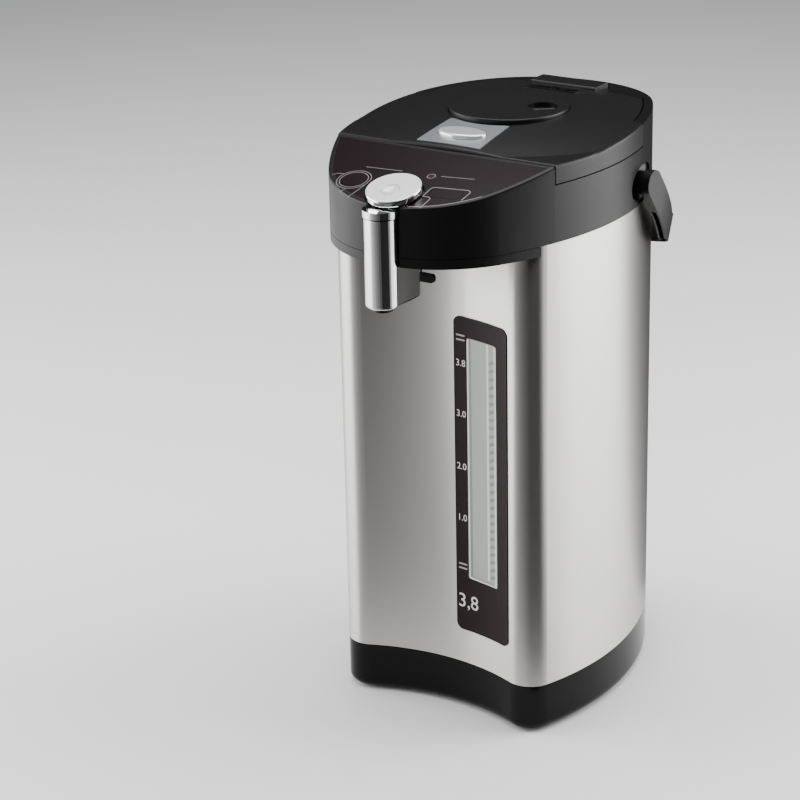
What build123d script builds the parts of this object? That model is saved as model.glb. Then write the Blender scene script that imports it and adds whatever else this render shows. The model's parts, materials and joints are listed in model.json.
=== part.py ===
from build123d import *
import os
from math import atan2, cos, degrees, hypot, radians, sin, sqrt

# Electric thermo pot: an insulated water boiler that dispenses from a spout at the front of
# its head. Lengths in millimetres, angles in degrees. The pot faces -Y and +Z is up. Every
# piece is modelled about the centre of the round back; the parts are moved once at the end,
# so that the origin is the middle of the whole outline, on the surface the pot stands on.

# ------------------------------------------------------------------ plan outline
rear_radius = 71.0  # round back, and the round tip of the nose
side_radius = 185.5  # flatter arc of each side
side_angle = 31.7  # half the sweep of a side arc on the oval head
corner_angle = 21.0  # where a side arc gives way to the front corner
corner_radius = 16.7
front_radius = 138.7  # hollow front of the body

# ------------------------------------------------------------------ heights, stacked
foot_height = 1.5  # air under the skirt
base_height = 32.2
wrap_height = 294.6  # steel wrap, from the base to the head
nose_overhang = 6.2  # the nose tray hangs this far below the joint of wrap and head
collar_height = 36.7  # from the wrap to the lid's skirt
skirt_height = 11.5
dome_rise = 9.0
dome_radius = 553.0
dome_offset = 12.1  # from the vessel's axis
panel_slope = 13.5  # fall of the control panel towards the front
panel_drop = 0.7  # step from the lid's rim down to the panel

# ------------------------------------------------------------------ walls and clearances
steel_wall = 1.0
base_wall = 2.6
head_wall = 2.6
lid_wall = 2.5
deck_thickness = 2.5
seam = 0.3  # line between two fixed covers
lid_gap = 0.8  # line round the lid
fit_gap = 0.3  # loose fit of a seated piece
running_gap = 0.06  # radial clearance of a pin in its bore
lip_gap = 0.15
lip_wall = 1.6
lip_depth = 5.0
lip_overlap = 0.8

# ------------------------------------------------------------------ base
base_round = 6.0
plate_inset = 10.0
ledge_width = 6.0
plate_thickness = 2.5
ledge_thickness = 2.5
foot_radius = 9.0
foot_sink = 0.8
foot_round = 0.8
front_foot_inset = (8.2, 15.7)  # from the centre of a front corner
rear_foot_inset = 23.6
rear_foot_angle = 27.6
screw_inset = 13.8
screw_radius = 1.6
screw_head_radius = 3.0
screw_head_height = 1.6
screw_slot = (4.0, 0.8, 1.2)
boss_radius = 4.2
boss_height = 9.0
inlet_width = 34.0
inlet_height = 20.0
inlet_depth = 14.0
inlet_level = 18.0
inlet_wall = 4.0
socket_depth = 8.0
pin_radius = 1.6
pin_pitch = 14.0
pin_length = 3.0
board_thickness = 1.6
power_board_size = (52, 44)
power_board_place = (-22, -6)
standoff_height = 10.0
standoff_radius = 3.0
relay_size = (19, 15, 14)
relay_offset = (-10, 6)
transformer_size = (18, 22, 16)
transformer_offset = (13, 4)
capacitor_radius = 5.0
capacitor_height = 15.0
capacitor_offset = (-12, -13)
terminal_size = (22, 7, 8)
terminal_offset = (10, -15)

# ------------------------------------------------------------------ vessel
front_web = 4.94  # from the lid's front edge to the well of the vessel
pot_inset = 18.0  # from the widest part of the head to the vessel's bore
pot_wall = 1.0
pot_floor = 62.0
mouth_rise = 13.7  # the vessel's rim above the wrap
rim_width = 4.0
rim_thickness = 1.5
pot_round = 8.0
sleeve_gap = 0.4
sleeve_wall = 3.2
sleeve_margin = (18.0, 12.0)  # below and above
heater_inset = 12.0
heater_thickness = 4.0
thermostat_radius = 8.0
thermostat_height = 7.0
thermostat_tag = (14, 3, 4)
thermostat_offsets = [(-28, 6), (-12, -26)]
well_gap = 1.0
well_wall = 1.6

# ------------------------------------------------------------------ pump
pump_offset = -30.0  # from the vessel's axis
motor_radius = 15.0
motor_height = 18.0
flange_height = 4.0
pump_radius = 19.0
pump_wall = 1.5
pump_height = 18.0
pump_neck = 6.0
axle_radius = 1.2
axle_depth = 10.0
magnet_radius = 12.0
magnet_height = 4.0
magnet_gap = 1.0
impeller_radius = 15.0
impeller_height = 4.0
impeller_gap = 0.5
impeller_hub = 1.8
blade_count = 6
blade_height = 5.0
blade_thickness = 1.2
neck_radius = 5.0
neck_wall = 1.6
stub_length = 8.0
hose_wall = 1.5
pump_hose_bend = 9.0
outlet_hose_bend = 8.0
outlet_level = 9.0  # pump outlet above the pump's floor

# ------------------------------------------------------------------ water gauge
gauge_x = 30.3
plate_half_width = 22.0
plate_bottom = 57.4
plate_height = 215.2
plate_corner = 5.0
plate_proud = 0.6
skin_gap = 0.05
window_half_width = 12.2
window_bottom = 95.0
window_height = 164.0
window_corner = 2.0
window_depth = 3.2
window_rim = 3.0
tube_radius = 6.0
tube_wall = 1.3
tube_gap = 1.4
tube_bottom = 60.0
tube_below = 12.3  # the tube's top below the wrap's top
hose_rise = 7.7

# ------------------------------------------------------------------ head
split_offset = 20.0  # seam between the front and the rear head cover, from the vessel's axis
tray_offset = 10.3  # where the nose tray ends beside the body, in front of the corners
tray_floor = 2.5
nose_round = 1.6
film_inset = 3.2
film_thickness = 1.0
film_margin = 2.6
rim_band = 6.0
hinge_inset = 32.0
hinge_rise = 2.4
hinge_pin_radius = 1.4
hinge_step = 5.0  # from the lid's rear edge to the hinge
tab_half_width = 24.0
tab_front = 12.0  # reach of the hinge tab before and behind its pin
tab_back = 5.5
tab_rise = 5.3
tab_sink = 5.5
ear_width = 8.0
ear_margin = 6.0
pin_margin = 2.0
swing_clearance = 0.6

# ------------------------------------------------------------------ spout
spout_stand = 0.7  # the spout's axis in front of the nose
spout_radius = 10.6
spout_length = 28.0
spout_back_round = 4.0
spout_drop = 31.8
spout_wall = 1.5
spout_gap = 0.4
core_gap = 0.1
groove_rise = 24.2
groove_height = 0.9
groove_depth = 1.0
collar_proud = 0.8
collar_band = 4.2
spout_round = 2.2
nozzle_radius = 6.0
nozzle_bore = 4.0
nozzle_drop = 2.5
nozzle_seat = 3.0
button_tilt = 15.0
button_setback = 14.0
button_lift = 5.1  # middle of the button's face above the panel
button_radius = 17.3
button_thickness = 4.6
button_round = 1.2
button_travel = 3.0
button_stop = 0.4
dent_radius = 12.0
dent_depth = 0.8
dent_offset = -4.0
stem_radius = 4.0
stem_length = 16.0
button_spring_radius = 5.8
button_spring_wire = 1.0
button_spring_length = 10.0
button_spring_turns = 4
pan_gap = 0.9
pan_thickness = 1.5

# ------------------------------------------------------------------ cup lever
lever_setback = 13.0  # from the spout's back
lever_sink = 1.3  # the lever's pin below the joint of wrap and head
lever_hub = 3.2
lever_tail = 8.0
lever_gap = 0.6
lever_pin_radius = 1.5
lever_width = 8.0
lever_wall = 2.6
paddle_half_width = 14.5
paddle_height = 5.5
paddle_drop = 24.0
paddle_step = 7.0
paddle_round = 2.0
slot_margin = (4.0, 2.0)
ear_thickness = 3.0

# ------------------------------------------------------------------ control panel
board_drop = 11.0
board_half_width = 50.0
board_front = 55.5
board_back = 8.5
board_notch = 4.0
left_key_inset = 12.8
left_key_angle = -36.9  # round the middle of the nose, from straight ahead
left_key_radius = 8.4
right_key_inset = 15.5
right_key_angle = 32.7
right_key_size = (20.0, 11.0)
right_key_turn = 4.0
key_corner = 3.5
key_gap = 0.3
key_flange = 1.2
key_flange_thickness = 1.0
key_stop = 0.15
key_travel = 0.6
switch_size = 6.0
switch_gap = 0.2
lens_offset = (10.0, -31.2)
lens_radius = 1.8
lens_length = 3.6
post_radius = 2.4
post_offsets = [(-44, -15.7), (44, -15.7), (-18, -33.7), (18, -33.7)]

# ------------------------------------------------------------------ lid
lid_round = 1.5
plug_top_gap = 2.0
plug_bottom_gap = 4.4
plug_rise = 4.0
plug_wall = 2.0
flange_thickness = 2.4
gasket_width = 5.0
gasket_gap = 0.3
gasket_round = 1.2
front_screw_inset = (26.0, 12.5)
rear_screw_inset = (38.0, 10.0)
lid_screw_sink = 1.4
lid_screw_length = 8.0
disc_offset = -2.0  # from the vessel's axis
disc_radius = 38.2
disc_gap = 0.5
disc_margin = 1.6
disc_proud = 0.8
disc_thickness = 3.0
disc_skirt = 10.0
disc_wall = 2.0
disc_round = 1.0
guide_wall = 2.0
presser_radius = 8.0
bellows_radius = 30.0
bellows_neck = 24.0
bellows_wall = 1.2
bellows_rise = 3.0
bellows_folds = 4
knob_offset = (21.0, 6.0)
knob_radius = 9.4
knob_drop = 3.4
knob_height = 3.6
knob_grip = 5.0
knob_grip_height = 2.2
knob_grip_turn = 35.0
knob_stem = 3.0
knob_clip = (1.4, 1.6)  # how far the clip stands out, and its height
knob_round = 0.8
knob_well_wall = 1.5
knob_floor = 2.0
latch_margin = 4.3
latch_length = 38.0
latch_front_width = 45.0
latch_back_width = 42.0
latch_sink = 0.9
latch_proud = 0.3
latch_key_offset = 21.3
latch_key_size = (16.4, 9.4)
latch_key_proud = 1.8
latch_key_round = 1.6
latch_key_rise = 7.0
latch_key_gap = 0.3
latch_spring_radius = 2.6
latch_spring_wire = 0.6
latch_spring_turns = 4
latch_spring_x = 11.5
bolt_half_width = 7.0
bolt_rise = 3.0
bolt_thickness = 1.8
bolt_length = 32.0
bolt_reach = 0.3
bolt_gap = 0.2
bolt_bevel = 0.6
vent_half_width = 19.0
vent_offset = (-31.0, -18.0)  # front and back edge, from the hinge
vent_corner = 3.0
vent_rim = 2.0
vent_slots = 5
vent_slot_size = (8.0, 2.4)
vent_slot_turn = 35.0

# ------------------------------------------------------------------ carrying handle
handle_offset = 21.0  # the pivots behind the vessel's axis
handle_rise = 12.7
handle_drop = 22.0  # fall of the folded grip
arm_drop = 52.0  # steeper fall of the arms, from the pivots to the knee
arm_length = 45.0
handle_inset = 1.9  # inside of the arms, from the widest part of the head
handle_gap = 2.9  # folded handle to the round back
handle_wall = 6.0
handle_width = 17.5
arm_reach = 20.0  # straight part of the arms, beyond the pivots
arm_round = 100.0
elbow_taper = 3.2  # how far the bow has narrowed at its elbow
elbow_reach = 42.0
elbow_round = 80.0
shoulder_inset = 23.2  # from the outside of the arms
shoulder_setback = 38.0  # from the outside of the crown
shoulder_round = 100.0
crown_inset = 55.2
crown_round = 55.0
channel_wall = 1.5
channel_roof = 2.5
channel_start = 12.0
rib_thickness = 1.4
rib_angles = range(25, 156, 10)
recess_half_width = 21.0
recess_half_height = 12.0
recess_inset = 8.3
socket_thickness = 1.8
socket_wall = 1.3
socket_edge = 1.0
trunnion_radius = 4.0
hub_radius = 7.4

far = wrap_height + 110.0  # longer than any piece: reach of a cutting tool


# ------------------------------------------------------------------ derived places
def side_centre():
    reach = side_radius - rear_radius
    return (reach * cos(radians(side_angle)), -reach * sin(radians(side_angle)))


def corner_centre():
    x, y = side_centre()
    reach = side_radius - corner_radius
    return (
        reach * cos(radians(corner_angle)) - x,
        y - reach * sin(radians(corner_angle)),
    )


def front_centre_y():
    x, y = corner_centre()
    return y - sqrt((corner_radius + front_radius) ** 2 - x ** 2)


def nose_place(inset, angle):
    """A place on the nose, by its distance from the rim and the angle from straight ahead."""
    reach = rear_radius - inset
    return (reach * sin(radians(angle)), nose_y - reach * cos(radians(angle)))


def panel_z(y):
    """Height of the control panel at a place along the pot."""
    return rim_level - panel_drop + (y - chord_y) * sin(radians(panel_slope)) / cos(radians(panel_slope))


def dome_z(y, x=0.0):
    """Height of the domed lid."""
    return crown_level - dome_radius + sqrt(dome_radius ** 2 - (y - dome_y) ** 2 - x ** 2)


base_top = foot_height + base_height
steel_top = base_top + wrap_height
nose_bottom = steel_top - nose_overhang
skirt_level = steel_top + collar_height
rim_level = skirt_level + skirt_height
crown_level = rim_level + dome_rise
deck_top = skirt_level - lid_gap
deck_bottom = deck_top - deck_thickness
plate_level = foot_height + plate_thickness
ledge_level = plate_level + ledge_thickness

nose_y = 2 * side_centre()[1]
half_width = side_radius - side_centre()[0]
chord_y = nose_y  # straight front edge of the lid
nose_back_y = chord_y - lid_gap
hinge_y = rear_radius - hinge_inset
ear_reach = lever_width / 2 + lever_gap + ear_thickness
hinge_z = rim_level + hinge_rise
rear_edge_y = hinge_y - hinge_step
tab_back_y = hinge_y + tab_back
tab_top = hinge_z + tab_rise
tab_bottom = hinge_z - tab_sink
tray_edge_y = corner_centre()[1] - tray_offset
tray_top = steel_top - seam

pot_radius = half_width - pot_inset
pot_outer = pot_radius + pot_wall
rim_radius = pot_outer + rim_width
pot_rim = steel_top + mouth_rise
well_radius_inner = rim_radius + well_gap
well_radius_outer = well_radius_inner + well_wall
pot_y = nose_back_y + front_web + well_radius_inner
split_y = pot_y + split_offset
dome_y = pot_y + dome_offset
plug_top_radius = well_radius_inner - plug_top_gap
plug_bottom_radius = well_radius_inner - plug_bottom_gap
plug_bottom = pot_rim + plug_rise
heater_radius = pot_radius - heater_inset
pump_place = (gauge_x, pot_y + pump_offset)

plate_top = plate_bottom + plate_height
window_top = window_bottom + window_height
tube_y = front_centre_y() + sqrt(front_radius ** 2 - gauge_x ** 2) + window_depth + tube_radius + tube_gap
tube_top = steel_top - tube_below
hose_level = steel_top + hose_rise

spout_y = nose_y - rear_radius - spout_stand
spout_back_y = spout_y + spout_length
spout_bottom = steel_top - spout_drop
groove_level = steel_top + groove_rise
collar_top = groove_level + groove_height + collar_band
button_y = spout_y + button_setback
button_z = panel_z(button_y) + button_lift
seat_depth = button_thickness + button_travel + button_stop
lever_y = spout_back_y + lever_setback
lever_z = steel_top - lever_sink
paddle_y = lever_y - paddle_step
paddle_bottom = lever_z - paddle_drop

left_key = nose_place(left_key_inset, left_key_angle)
right_key = nose_place(right_key_inset, right_key_angle)
lens_place = (lens_offset[0], nose_y + lens_offset[1])

disc_y = pot_y + disc_offset
disc_top = crown_level + disc_proud
knob_place = (knob_offset[0], disc_y + knob_offset[1])
bellows_top = skirt_level + bellows_rise
latch_front_y = chord_y + latch_margin
latch_back_y = latch_front_y + latch_length
latch_key_y = chord_y + latch_key_offset
latch_key_bottom = skirt_level + latch_key_rise
bolt_bottom = skirt_level + bolt_rise
bolt_back_y = chord_y + bolt_length
vent_front_y = hinge_y + vent_offset[0]
vent_back_y = hinge_y + vent_offset[1]

handle_y = pot_y + handle_offset
handle_z = steel_top + handle_rise
handle_inner = half_width - handle_inset
handle_bend = arm_drop - handle_drop
knee_reach = arm_length * cos(radians(handle_bend))
knee_fall = arm_length * sin(radians(handle_bend))
handle_lean = (knee_fall + handle_width / 2) * sin(radians(handle_drop))
handle_reach = (rear_radius + handle_gap - handle_y + handle_lean) / cos(radians(handle_drop)) + handle_wall
recess_floor = half_width - recess_inset

panel_plane = Plane((0, chord_y, rim_level - panel_drop), x_dir=(1, 0, 0),
                    z_dir=(0, -sin(radians(panel_slope)), cos(radians(panel_slope))))
button_plane = Plane((0, button_y, button_z), x_dir=(1, 0, 0),
                     z_dir=(0, -sin(radians(button_tilt)), cos(radians(button_tilt))))
handle_plane = Plane((0, handle_y, handle_z), x_dir=(1, 0, 0),
                     z_dir=(0, sin(radians(handle_drop)), cos(radians(handle_drop))))


# ------------------------------------------------------------------ helpers
def slab(face, low, high):
    return extrude(Pos(0, 0, low) * face, amount=high - low)


def block(x, y, z):
    """A box between two limits on each axis."""
    size = (x[1] - x[0], y[1] - y[0], z[1] - z[0])
    middle = (sum(x) / 2, sum(y) / 2, sum(z) / 2)
    return Pos(*middle) * Box(*size)


def rod(radius, low, high, at=(0, 0)):
    return Pos(at[0], at[1], low) * Cylinder(radius, high - low, align=(Align.CENTER, Align.CENTER, Align.MIN))


def pipe(outer, inner, low, high, at=(0, 0)):
    return rod(outer, low, high, at) - rod(inner, low, high, at)


def cross_rod(radius, left, right, y, z):
    """A cylinder along X."""
    return Pos(left, y, z) * Rot(0, 90, 0) * Cylinder(
        radius, right - left, align=(Align.CENTER, Align.CENTER, Align.MIN))


def side_profile(points, half_width=far / 2):
    """A prism along X from an outline in the YZ plane."""
    return extrude(Plane.YZ * make_face(Polyline(*points, close=True)), amount=half_width, both=True)


def head_plan(inset=0.0):
    """The oval of the head: two end arcs and two side arcs, all tangent."""
    x, y = side_centre()
    a = side_angle
    return make_face([
        CenterArc((0, 0), rear_radius - inset, a, 180 - 2 * a),
        CenterArc((x, y), side_radius - inset, 180 - a, 2 * a),
        CenterArc((0, 2 * y), rear_radius - inset, 180 + a, 180 - 2 * a),
        CenterArc((-x, y), side_radius - inset, -a, 2 * a),
    ])


def body_plan(inset=0.0):
    """The body: the head's back and sides, two round corners and a hollow front."""
    x, y = side_centre()
    cx, cy = corner_centre()
    a = side_angle
    b = corner_angle
    turn = degrees(atan2(cy - front_centre_y(), cx))
    return make_face([
        CenterArc((0, 0), rear_radius - inset, a, 180 - 2 * a),
        CenterArc((x, y), side_radius - inset, 180 - a, a + b),
        CenterArc((-cx, cy), corner_radius - inset, 180 + b, 180 - turn - b),
        CenterArc((0, front_centre_y()), front_radius + inset, turn, 180 - 2 * turn),
        CenterArc((cx, cy), corner_radius - inset, turn - 180, 180 - turn - b),
        CenterArc((-x, y), side_radius - inset, -b, a + b),
    ])


def body_ring(outer, inner, low, high):
    return slab(body_plan(outer), low, high) - slab(body_plan(inner), low, high)


def spout_plan(grow=0.0):
    """Round front, straight sides and a squarer back."""
    r = spout_radius + grow
    back = spout_back_y + grow
    front = Pos(0, spout_y) * Circle(r)
    straight = Pos(0, (spout_y + back) / 2) * RectangleRounded(2 * r, back - spout_y, spout_back_round)
    middle = Pos(0, (spout_y + back) / 2 - spout_back_round)
    mid = middle * Rectangle(2 * r, back - spout_y - 2 * spout_back_round)
    joint = Pos(0, spout_y + spout_back_round) * Rectangle(2 * r, 2 * spout_back_round)
    return front + straight + mid + joint


def under_top(drop=0.0):
    """Everything below the lid's domed top, lowered by drop."""
    dome = Pos(0, dome_y, crown_level - dome_radius) * Sphere(dome_radius - drop)
    rim = block((-far, far), (-far, far), (0, rim_level - drop))
    return dome + rim


def top_sheet(face, proud, sink):
    """A plate that follows the lid's top between two depths."""
    column = slab(face, skirt_level, far)
    return (column & under_top(-proud)) - under_top(sink)


def coil(radius, wire, length, turns):
    """A compression spring that stands on the XY plane."""
    height = length - wire
    path = Helix(pitch=height / turns, height=height, radius=radius - wire / 2)
    section = Plane(path @ 0, z_dir=path % 0) * Circle(wire / 2)
    return Pos(0, 0, wire / 2) * sweep(section, path)


def mirrored(shape):
    return Compound([shape, mirror(shape, Plane.YZ)])


# ------------------------------------------------------------------ base
def screw_places():
    cx, cy = corner_centre()
    side_x = side_radius - screw_inset - side_centre()[0]
    back = rear_radius - screw_inset
    corner = (corner_radius - screw_inset) / sqrt(2)
    right = [
        (cx + corner, cy - corner),
        (side_x, side_centre()[1]),
        (back * sin(radians(45)), back * cos(radians(45))),
    ]
    return right + [(-x, y) for x, y in right]


def foot_places():
    cx, cy = corner_centre()
    reach = rear_radius - rear_foot_inset
    right = [
        (cx - front_foot_inset[0], cy + front_foot_inset[1]),
        (reach * cos(radians(rear_foot_angle)), reach * sin(radians(rear_foot_angle))),
    ]
    return right + [(-x, y) for x, y in right]


def inlet_hole(gap=0.0):
    half = inlet_width / 2 + gap
    low = inlet_level - inlet_height / 2 - gap
    high = low + inlet_height + 2 * gap
    return block((-half, half), (rear_radius - inlet_depth, rear_radius + far), (low, high))


def base_shell():
    outer = slab(body_plan(), foot_height, base_top)
    foot_edges = outer.edges().group_by(Axis.Z)[0]
    outer = fillet(foot_edges, base_round)
    inner = slab(body_plan(base_wall), ledge_level, base_top)
    opening = slab(body_plan(plate_inset + ledge_width), foot_height, ledge_level)
    rebate = slab(body_plan(plate_inset), foot_height, plate_level)
    shell = outer - inner - opening - rebate - inlet_hole(fit_gap)
    inset = steel_wall + lip_gap
    shell += body_ring(inset, inset + lip_wall + lip_gap, base_top - lip_overlap, base_top + lip_depth)
    for place in screw_places():
        shell += rod(boss_radius, plate_level, ledge_level + boss_height, place)
    for place in screw_places():
        shell -= rod(screw_radius, plate_level, ledge_level + boss_height - 1, place)
    return shell


def base_plate():
    plate = slab(body_plan(plate_inset + fit_gap), foot_height, plate_level)
    for place in foot_places():
        plate -= rod(foot_radius, foot_height, foot_height + foot_sink, place)
    for place in screw_places():
        plate -= rod(screw_radius, foot_height, plate_level, place)
        plate -= rod(screw_head_radius, foot_height, foot_height + screw_head_height, place)
    for place in board_corners():
        plate += rod(standoff_radius, plate_level, plate_level + standoff_height, place)
    return plate


def rubber_feet():
    feet = []
    for place in foot_places():
        pad = rod(foot_radius, 0, foot_height + foot_sink, place)
        feet.append(fillet(pad.edges().group_by(Axis.Z)[0], foot_round))
    return Compound(feet)


def base_screws():
    screws = []
    for place in screw_places():
        head = rod(screw_head_radius, foot_height, foot_height + screw_head_height, place)
        slot = Pos(place[0], place[1], foot_height) * Box(*screw_slot)
        shank = rod(screw_radius, foot_height, ledge_level + boss_height - 2, place)
        screws.append(head + shank - slot)
    return Compound(screws)


def power_inlet():
    low = inlet_level - inlet_height / 2
    half = inlet_width / 2
    y = (rear_radius - inlet_depth, rear_radius)
    body = block((-half, half), y, (low, low + inlet_height)) & slab(body_plan(0.4), 0, base_top)
    half -= inlet_wall
    mouth = (low + inlet_wall, low + inlet_height - inlet_wall)
    body -= block((-half, half), (rear_radius - socket_depth, rear_radius + 1), mouth)
    for x in (-pin_pitch / 2, 0, pin_pitch / 2):
        body -= inlet_pin(x)
    return body


def inlet_pin(x):
    back = rear_radius - socket_depth - pin_length
    return Pos(x, back, inlet_level) * Rot(-90, 0, 0) * Cylinder(
        pin_radius, 2 * pin_length, align=(Align.CENTER, Align.CENTER, Align.MIN))


def inlet_pins():
    return Compound([inlet_pin(x) for x in (-pin_pitch / 2, 0, pin_pitch / 2)])


def board_corners():
    x, y = power_board_place
    half_x = power_board_size[0] / 2 - standoff_radius
    half_y = power_board_size[1] / 2 - standoff_radius
    return [(x + i * half_x, y + j * half_y) for i in (-1, 1) for j in (-1, 1)]


def power_board():
    level = plate_level + standoff_height
    x, y = power_board_place
    board = Pos(x, y, level + board_thickness / 2) * Box(*power_board_size, board_thickness)
    top = level + board_thickness
    for size, offset in ((relay_size, relay_offset), (transformer_size, transformer_offset),
                         (terminal_size, terminal_offset)):
        board += Pos(x + offset[0], y + offset[1], top + size[2] / 2) * Box(*size)
    can = (x + capacitor_offset[0], y + capacitor_offset[1])
    return board + rod(capacitor_radius, top, top + capacitor_height, can)


# ------------------------------------------------------------------ body and gauge
def window_face(grow=0.0):
    height = window_top - window_bottom + 2 * grow
    width = 2 * (window_half_width + grow)
    middle = (window_top + window_bottom) / 2
    return Plane.XZ * Pos(gauge_x, middle) * RectangleRounded(width, height, window_corner + grow)


def window_cut(grow=0.0):
    """A tool that runs through the front wall only."""
    return extrude(Pos(0, pot_y - pot_outer, 0) * window_face(grow), amount=far / 4)


def plate_cut(grow=0.0):
    height = plate_top - plate_bottom + 2 * grow
    width = 2 * (plate_half_width + grow)
    middle = (plate_top + plate_bottom) / 2
    face = Plane.XZ * Pos(gauge_x, middle) * RectangleRounded(width, height, plate_corner)
    return extrude(Pos(0, pot_y - pot_outer, 0) * face, amount=far / 4)


def outer_body():
    return body_ring(0, steel_wall, base_top, steel_top) - window_cut(fit_gap)


def gauge_plate():
    skin = body_ring(-plate_proud, -skin_gap, plate_bottom, plate_top)
    return (skin & plate_cut()) - window_cut(fit_gap)


def gauge_window():
    glass = body_ring(-plate_proud / 2, window_depth, window_bottom, window_top) & window_cut()
    rim = body_ring(steel_wall, window_depth, window_bottom - window_rim, window_top + window_rim)
    rim &= window_cut(window_rim)
    return glass + rim


def gauge_tube():
    return pipe(tube_radius, tube_radius - tube_wall, tube_bottom, tube_top, (gauge_x, tube_y))


# ------------------------------------------------------------------ vessel
def inner_pot():
    outer = rod(pot_outer, pot_floor, pot_rim, (0, pot_y))
    outer = fillet(outer.edges().group_by(Axis.Z)[0], pot_round)
    inner = rod(pot_radius, pot_floor + pot_wall, pot_rim, (0, pot_y))
    inner = fillet(inner.edges().group_by(Axis.Z)[0], pot_round - pot_wall)
    pot = outer + rod(rim_radius, pot_rim - rim_thickness, pot_rim, (0, pot_y)) - inner
    pot += rod(neck_radius, pump_top + pump_neck + fit_gap, pot_floor + pot_wall, pump_place)
    return pot - rod(neck_radius - neck_wall, 0, pot_floor + 2 * pot_wall, pump_place)


def insulation_sleeve():
    inner = pot_outer + sleeve_gap
    low = pot_floor + sleeve_margin[0]
    return pipe(inner + sleeve_wall, inner, low, pot_rim - sleeve_margin[1], (0, pot_y))


def heater_plate():
    disc = rod(heater_radius, pot_floor - heater_thickness, pot_floor, (0, pot_y))
    return disc - rod(neck_radius + hose_wall + 2 * lip_gap, 0, pot_floor, pump_place)


def thermostats():
    top = pot_floor - heater_thickness
    switches = []
    for x, y in thermostat_offsets:
        can = rod(thermostat_radius, top - thermostat_height, top, (x, pot_y + y))
        tag = Pos(x, pot_y + y, top - thermostat_height - thermostat_tag[2] / 2) * Box(*thermostat_tag)
        switches.append(can + tag)
    return Compound(switches)


def pot_collar():
    low = pot_rim - rim_thickness - deck_thickness
    wall = pipe(well_radius_outer, well_radius_inner, low, deck_bottom, (0, pot_y))
    seat = pipe(well_radius_outer, pot_outer + sleeve_gap, low, low + deck_thickness, (0, pot_y))
    return wall + seat


# ------------------------------------------------------------------ pump
motor_top = plate_level + motor_height
rotor_level = motor_top + magnet_gap
pump_bottom = motor_top + 2 * flange_height
pump_floor = pump_bottom + pump_wall
pump_top = pump_bottom + pump_height
outlet_z = pump_floor + outlet_level


def pump_motor():
    can = rod(motor_radius, plate_level, motor_top, pump_place)
    cage = pipe(pump_radius, magnet_radius + magnet_gap, motor_top - magnet_gap, motor_top + flange_height,
                pump_place)
    return can + cage - rod(axle_radius + running_gap, motor_top - axle_depth, motor_top, pump_place)


def motor_rotor():
    shaft = rod(axle_radius, motor_top - axle_depth + magnet_gap, rotor_level, pump_place)
    return shaft + rod(magnet_radius, rotor_level, rotor_level + magnet_height, pump_place)


def pump_housing():
    shell = rod(pump_radius, pump_bottom, pump_top, pump_place)
    shell -= rod(pump_radius - pump_wall, pump_floor, pump_top - pump_wall, pump_place)
    shell += pipe(pump_radius, magnet_radius + magnet_gap, pump_bottom - flange_height, pump_bottom, pump_place)
    shell += rod(neck_radius, pump_top - pump_wall, pump_top + pump_neck, pump_place)
    axle_top = pump_floor + impeller_height + blade_height + 2 * impeller_gap
    shell += rod(axle_radius, pump_floor, axle_top, pump_place)
    stub = Pos(pump_place[0], pump_place[1] - pump_radius + pump_wall, outlet_z) * Rot(90, 0, 0) * Cylinder(
        neck_radius, stub_length + pump_wall, align=(Align.CENTER, Align.CENTER, Align.MIN))
    bore = Pos(pump_place[0], pump_place[1] - pump_radius + 2 * pump_wall, outlet_z) * Rot(90, 0, 0) * Cylinder(
        neck_radius - neck_wall, far / 4, align=(Align.CENTER, Align.CENTER, Align.MIN))
    shell += stub
    return shell - bore - rod(neck_radius - neck_wall, pump_top - 2 * pump_wall, far, pump_place)


def pump_impeller():
    low = pump_floor + impeller_gap
    wheel = rod(impeller_radius, low, low + impeller_height, pump_place)
    top = low + impeller_height
    hub = axle_radius + impeller_hub
    blade = Pos((hub + impeller_radius) / 2 - impeller_gap, 0, blade_height / 2) * Box(
        impeller_radius - hub, blade_thickness, blade_height)
    for i in range(blade_count):
        wheel += Pos(pump_place[0], pump_place[1], top) * Rot(0, 0, 360 / blade_count * i) * blade
    wheel += rod(hub, top, top + blade_height, pump_place)
    return wheel - rod(axle_radius + running_gap, low, far, pump_place)


def drain_hose():
    """Short sleeve that joins the vessel's drain to the pump's neck."""
    inner = neck_radius + lip_gap
    return pipe(inner + hose_wall, inner, pump_top + fit_gap, pot_floor - fit_gap, pump_place)


def hose(points, bend):
    path = FilletPolyline(*points, radius=bend)
    start = Plane(path @ 0, z_dir=path % 0)
    outer = sweep(start * Circle(neck_radius), path)
    return outer - sweep(start * Circle(neck_radius - neck_wall), path)


def pump_hose():
    start = (pump_place[0], pump_place[1] - pump_radius - stub_length, outlet_z)
    return hose([start, (gauge_x, tube_y, outlet_z), (gauge_x, tube_y, tube_bottom)], pump_hose_bend)


def outlet_hose():
    return hose([(gauge_x, tube_y, tube_top), (gauge_x, tube_y, hose_level),
                 (0, lever_y + lever_hub, hose_level), (0, spout_back_y - spout_wall - core_gap, hose_level)],
                outlet_hose_bend)


# ------------------------------------------------------------------ head covers
def handle_recess(gap=0.0):
    face = Plane.YZ * Pos(handle_y, handle_z) * Ellipse(recess_half_width - gap, recess_half_height - gap)
    tool = extrude(Pos(recess_floor - 8, 0, 0) * face, amount=far / 4)
    return tool + mirror(tool, Plane.YZ)


def button_pocket(grow=0.0):
    depth = button_thickness + button_travel + button_stop + pan_thickness
    face = button_plane.offset(-depth) * Circle(button_radius + pan_gap + grow)
    return extrude(face, amount=far / 8)


def left_key_face(grow=0.0):
    return Pos(*left_key) * Circle(left_key_radius + grow)


def right_key_face(grow=0.0):
    size = [side + 2 * grow for side in right_key_size]
    return Pos(*right_key) * Rot(0, 0, right_key_turn) * RectangleRounded(*size, key_corner + grow)


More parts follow.
